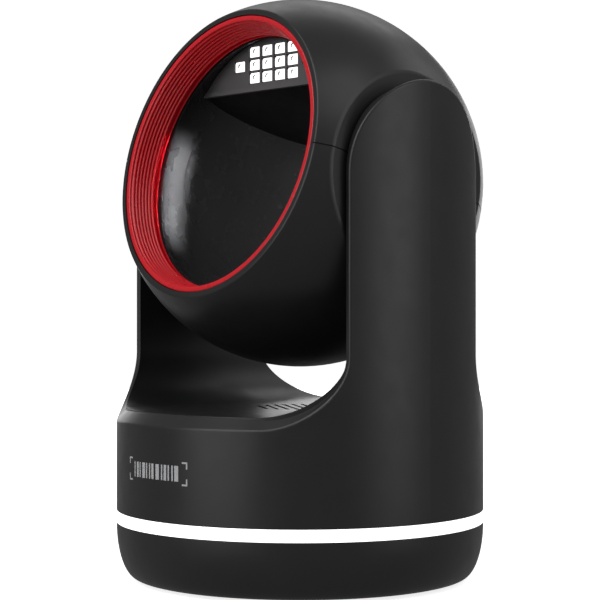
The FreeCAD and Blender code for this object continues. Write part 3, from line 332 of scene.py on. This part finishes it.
def make_collar():
    """The red collar: a flat front lip, seven round ribs that step in, a groove and a thin neck ring."""
    front = MOUTH_DEPTH - 0.15 * MM
    lip = COLLAR_RADIUS - COLLAR_LIP
    first_rib = -front + 0.8 * MM
    neck_ring = 1.3 * MM
    step_y = (-COLLAR_BACK - neck_ring - first_rib) / RIB_COUNT
    step_r = (lip - COLLAR_NECK) / RIB_COUNT
    bulge = 0.42 * MM
    outline = [(COLLAR_RADIUS, -front + 0.25 * MM, 0), (COLLAR_RADIUS - 0.12 * MM, -front + 0.06 * MM, 0),
               (COLLAR_RADIUS - 0.35 * MM, -front, 0), (lip + 0.12 * MM, -front + 0.02 * MM, 0),
               (lip - 0.1 * MM, -front + 0.14 * MM, 0), (lip - 0.16 * MM, -front + 0.36 * MM, 0),
               (lip - 0.02 * MM, -front + 0.75 * MM, 0)]
    for rib in range(RIB_COUNT):
        start = first_rib + rib * step_y
        radius = lip - rib * step_r
        for step in range(1, 8):
            part = step / 8
            swell = bulge * math.sin(math.pi * min(part / 0.8, 1.0)) ** 0.7
            outline.append((radius - step_r * part - swell, start + step_y * part, 0))
        outline.append((radius - step_r, start + step_y, 0))
    groove = -COLLAR_BACK - neck_ring
    back = COLLAR_NECK + 1.4 * MM
    outline += [(COLLAR_NECK + 0.9 * MM, groove + 0.1 * MM, 0),
                (COLLAR_NECK + 0.9 * MM, groove + 0.75 * MM, 0),
                (COLLAR_NECK - 0.1 * MM, groove + 0.8 * MM, 0),
                (COLLAR_NECK - 0.2 * MM, groove + 0.95 * MM, 0),
                (COLLAR_NECK - 0.1 * MM, -COLLAR_BACK - 0.05 * MM, 0), (back, -COLLAR_BACK, 0),
                (back, -COLLAR_BACK - 2.2 * MM, 0), (COLLAR_RADIUS, -COLLAR_BACK - 4.4 * MM, 0)]
    mesh = spun_ring(outline, (0, 1, 0))
    mesh.transform(HEAD_REST)
    piece = finished("scan_collar", mesh, RED_ABS, "head", 50.0)
    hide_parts("red_collar")


def slab(mesh, outline, front, back):
    """A closed plate facing -Y: an outline of (x, z) points between two Y levels."""
    face = mesh.faces.new([mesh.verts.new((x, front, z)) for x, z in outline])
    grown = bmesh.ops.extrude_face_region(mesh, geom=[face])["geom"]
    far = [part for part in grown if isinstance(part, bmesh.types.BMVert)]
    bmesh.ops.translate(mesh, verts=far, vec=(0, back - front, 0))


def ring_plate(mesh, outer, inner, front, back):
    """A closed frame facing -Y between two outlines with the same number of points."""
    loops = [[mesh.verts.new((x, y, z)) for x, z in outline]
             for outline, y in ((outer, front), (inner, front), (inner, back), (outer, back))]
    count = len(outer)
    for first, second in zip(loops, loops[1:] + loops[:1]):
        for i in range(count):
            mesh.faces.new((first[i], second[i], second[(i + 1) % count], first[(i + 1) % count]))


def rounded_block(x, z, wide, tall, corner, steps=4):
    """The (x, z) outline of a block with rounded corners."""
    points = []
    for turn, sign_x, sign_z in ((0, 1, 1), (90, -1, 1), (180, -1, -1), (270, 1, -1)):
        centre_x = x + sign_x * (wide / 2 - corner)
        centre_z = z + sign_z * (tall / 2 - corner)
        for step in range(steps + 1):
            angle = math.radians(turn + 90 * step / steps)
            points.append((centre_x + corner * math.cos(angle), centre_z + corner * math.sin(angle)))
    return points


def make_lamps():
    """The white lamps: a bright face with one clipped corner, a dark holder round it and a chip mark."""
    faces, holders, chips = bmesh.new(), bmesh.new(), bmesh.new()
    half_x, half_z, clip = LAMP_WIDE / 2, LAMP_TALL / 2, 0.45 * MM
    for x, z in LAMP_PLACES:
        corners = [(x - half_x, z - half_z), (x + half_x, z - half_z), (x + half_x, z + half_z),
                   (x - half_x + clip, z + half_z), (x - half_x, z + half_z - clip)]
        slab(faces, corners, LAMP_FACE, LAMP_FACE + 1.0 * MM)
        ring_plate(holders, rounded_block(x, z, LAMP_WIDE + 0.8 * MM, LAMP_TALL + 0.46 * MM, 0.2 * MM),
                   rounded_block(x, z, LAMP_WIDE + 0.04 * MM, LAMP_TALL + 0.04 * MM, 0.05 * MM),
                   LAMP_FACE + 0.25 * MM, LAMP_FACE + 1.0 * MM)
        crescent = []
        for step in range(9):
            angle = math.radians(75 + 150 * step / 8)
            across, up = 0.72 * MM * math.cos(angle), 0.66 * MM * math.sin(angle)
            crescent.append((x + 0.12 * MM + across, z + 0.1 * MM + up))
        for step in range(7, 0, -1):
            angle = math.radians(75 + 150 * step / 8)
            across, up = 0.68 * MM * math.cos(angle), 0.5 * MM * math.sin(angle)
            crescent.append((x + 0.4 * MM + across, z + 0.02 * MM + up))
        slab(chips, crescent, LAMP_FACE - 0.05 * MM, LAMP_FACE + 0.02 * MM)
    outer_edges = [edge for edge in faces.edges if all(abs(v.co.y - LAMP_FACE) < 1e-6 for v in edge.verts)]
    bmesh.ops.bevel(faces, geom=outer_edges, offset=0.1 * MM, offset_type="OFFSET", segments=2, profile=0.5,
                    affect="EDGES", material=-1)
    lamps = finished("lamp_faces", faces, LAMP, "head")
    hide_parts("illumination_leds")
    finished("lamp_holders", holders, NYLON_BLACK, "head")
    finished("lamp_chips", chips, EPOXY, "head")


def curved_bar(mesh, along_low, along_high, z_low, z_high):
    """A closed printed bar that hugs the round base: from one length along the front to another."""
    inner, outer = BASE_RADIUS - 0.03 * MM, BASE_RADIUS + 0.015 * MM
    cuts = max(1, round((along_high - along_low) / (0.8 * MM)))
    loops = []
    for step in range(cuts + 1):
        angle = (along_low + (along_high - along_low) * step / cuts) / BASE_RADIUS
        loops.append([mesh.verts.new((radius * math.sin(angle), -radius * math.cos(angle), z))
                      for radius, z in ((inner, z_low), (outer, z_low), (outer, z_high), (inner, z_high))])
    for first, second in zip(loops, loops[1:]):
        for i in range(4):
            mesh.faces.new((first[i], first[(i + 1) % 4], second[(i + 1) % 4], second[i]))
    mesh.faces.new(loops[0][::-1])
    mesh.faces.new(loops[-1])


def make_printed_mark():
    """A plain printed sign for scanning on the front of the base: bars between four corner brackets."""
    mesh = bmesh.new()
    half_wide, half_tall, line, arm = 11.8 * MM, 2.9 * MM, 0.42 * MM, 1.7 * MM
    for side in (-1, 1):
        edge = side * half_wide
        for low, high in ((half_tall - arm, half_tall), (-half_tall, -half_tall + arm)):
            start, end = sorted((edge, edge - side * line))
            curved_bar(mesh, start, end, MARK_HEIGHT + low, MARK_HEIGHT + high)
        for low in (half_tall - line, -half_tall):
            start, end = sorted((edge - side * (line + 0.01 * MM), edge - side * arm))
            curved_bar(mesh, start, end, MARK_HEIGHT + low, MARK_HEIGHT + low + line)
    bars = (0.5, 0.9, 0.5, 1.3, 0.5, 0.5, 0.9, 1.3, 0.5, 0.9, 0.5, 0.5, 1.3)
    gaps = (0.8, 0.5, 0.8, 0.5, 0.8, 0.5, 0.8, 0.8, 0.5, 0.5, 0.8, 0.5)
    along = -(sum(bars) + sum(gaps)) / 2
    for bar, gap in zip(bars, gaps + (0.0,)):
        curved_bar(mesh, along * MM, (along + bar) * MM, MARK_HEIGHT - 1.9 * MM, MARK_HEIGHT + 1.9 * MM)
        along += bar + gap
    finished("printed_sign", mesh, INK, "base", 20.0)


def make_speaker_cloth():
    """The round acoustic cloth under the slits: a thin disc with a glued rim that is a little thicker."""
    top = CHANNEL_FLOOR - 1.84 * MM
    low = CHANNEL_FLOOR - 1.98 * MM
    outline = [(0.0004, 0, low + 0.03 * MM), (0.0124, 0, low + 0.03 * MM), (0.0127, 0, low), (0.0134, 0, low),
               (0.0136, 0, low + 0.05 * MM), (0.0134, 0, top), (0.0127, 0, top), (0.0124, 0, top - 0.04 * MM),
               (0.006, 0, top - 0.055 * MM), (0.0004, 0, top - 0.06 * MM)]
    mesh = spun_ring(outline, (0, 0, 1), 96)
    finished("speaker_cloth", mesh, CLOTH, "base")


make_collar()
make_lamps()
make_printed_mark()
make_speaker_cloth()

# ---------------------------------------------------------------- studio


def make_stage():
    """A pale round floor that curves up all round into a plain dome."""
    mesh = bmesh.new()
    reach, bend, rise, steps = 2.6, 0.8, 1.6, 8
    outline = [(0.02, 0, 0), (0.6, 0, 0), (reach - bend, 0, 0)]
    for step in range(1, steps + 1):
        angle = math.radians(90 * step / steps)
        outline.append((reach - bend + bend * math.sin(angle), 0, bend * (1 - math.cos(angle))))
    for step in range(1, steps + 1):
        angle = math.radians(86 * step / steps)
        outline.append((reach * math.cos(angle), 0, bend + rise * math.sin(angle)))
    corners = [mesh.verts.new(point) for point in outline]
    edges = [mesh.edges.new(pair) for pair in zip(corners, corners[1:])]
    bmesh.ops.spin(mesh, geom=corners + edges, cent=(0, 0, 0), axis=(0, 0, 1), angle=2 * math.pi,
                   steps=64, use_merge=True)
    bmesh.ops.holes_fill(mesh, edges=[edge for edge in mesh.edges if edge.is_boundary], sides=0)
    bmesh.ops.recalc_face_normals(mesh, faces=mesh.faces)
    bmesh.ops.reverse_faces(mesh, faces=mesh.faces)
    data = bpy.data.meshes.new("studio_floor")
    mesh.to_mesh(data)
    mesh.free()
    data.shade_smooth()
    floor = bpy.data.objects.new("studio_floor", data)
    bpy.context.scene.collection.objects.link(floor)
    floor.visible_glossy = False
    floor.visible_diffuse = False
    material, tree, surface, place = new_material("matt_white_paper", Roughness=0.95, Emission_Strength=0.8)
    fibres = spread(tree, mottle(tree, place, 4 * MM), 0.0, 1.0)
    tree.links.new(blend_colours(tree, fibres, "#f7f7f7", "#ffffff"), surface.inputs["Base Color"])
    surface.inputs["Emission Color"].default_value = srgb("#ffffff")
    data.materials.append(material)


def soft_light(name, azimuth, elevation, distance, wide, tall, power):
    """A softbox aimed at the middle of the object, in degrees round from the camera and up from level."""
    light = bpy.data.lights.new(name, "AREA")
    light.shape = "RECTANGLE"
    light.size = wide
    light.size_y = tall
    light.energy = power
    lamp = bpy.data.objects.new(name, light)
    bpy.context.scene.collection.objects.link(lamp)
    turn, lift = CAMERA_AZIMUTH + math.radians(azimuth), math.radians(elevation)
    towards = Vector((math.sin(turn) * math.cos(lift), -math.cos(turn) * math.cos(lift), math.sin(lift)))
    lamp.location = OBJECT_MIDDLE + towards * distance
    lamp.rotation_mode = "QUATERNION"
    lamp.rotation_quaternion = towards.to_track_quat("Z", "Y")


def bowl_light(name, place, target, wide, tall, spread, power):
    """A small light inside the mouth that brightens the bowl: its places are millimetres from the hinge.

    It belongs to the studio and stays put when the head tilts. It imitates a bright crescent whose real cause
    isn't known; without it the bowl is nearly black.
    """
    light = bpy.data.lights.new(name, "AREA")
    light.shape = "RECTANGLE"
    light.size = wide * MM
    light.size_y = tall * MM
    light.spread = math.radians(spread)
    light.energy = power
    lamp = bpy.data.objects.new(name, light)
    bpy.context.scene.collection.objects.link(lamp)
    place, target = Vector(place) * MM, Vector(target) * MM
    aim = (place - target).to_track_quat("Z", "Y").to_matrix().to_4x4()
    lamp.matrix_world = HEAD_REST @ Matrix.Translation(place) @ aim
    lamp.visible_camera = False
    lamp.visible_glossy = False


CAMERA_AZIMUTH = math.radians(48.6)
CAMERA_DISTANCE = 0.4738
CAMERA_HEIGHT = 0.0727
OBJECT_MIDDLE = Vector((0, 0, 0.085))

camera_data = bpy.data.cameras.new("camera")
camera_data.lens = 108.0
camera_data.sensor_width = 36.0
camera_data.clip_start = 0.01
camera = bpy.data.objects.new("camera", camera_data)
bpy.context.scene.collection.objects.link(camera)
camera.location = (CAMERA_DISTANCE * math.sin(CAMERA_AZIMUTH),
                   -CAMERA_DISTANCE * math.cos(CAMERA_AZIMUTH),
                   CAMERA_HEIGHT)
camera.rotation_euler = (math.radians(90), 0, CAMERA_AZIMUTH)
bpy.context.scene.camera = camera

make_stage()
soft_light("right_softbox", 59, 15, 0.9, 0.5, 0.8, 1.35)
soft_light("left_softbox", -50, 15, 0.9, 0.7, 0.8, 2.6)
soft_light("right_high_softbox", 40, 50, 0.9, 0.5, 0.5, 0.8)
soft_light("left_high_softbox", -50, 50, 0.9, 0.7, 0.5, 2.2)
soft_light("back_right_light", 120, 35, 0.9, 0.5, 0.5, 0.6)
soft_light("back_high_light", 180, 45, 0.9, 0.7, 0.4, 0.8)
soft_light("back_card", 180, 6, 1.0, 1.2, 0.4, 2.6)
bowl_light("bowl_glow", (29, -13, -3), (-34, -15.2, -5), 6, 26, 11, 0.01)
bowl_light("bowl_fill", (10, -15, 0), (-20, 14, -4), 14, 26, 110, 0.009)

world = bpy.data.worlds.new("studio")
bpy.context.scene.world = world
world.use_nodes = True
world.node_tree.nodes["Background"].inputs["Color"].default_value = (1, 1, 1, 1)
world.node_tree.nodes["Background"].inputs["Strength"].default_value = 0.22
bpy.context.scene.view_settings.view_transform = "Standard"
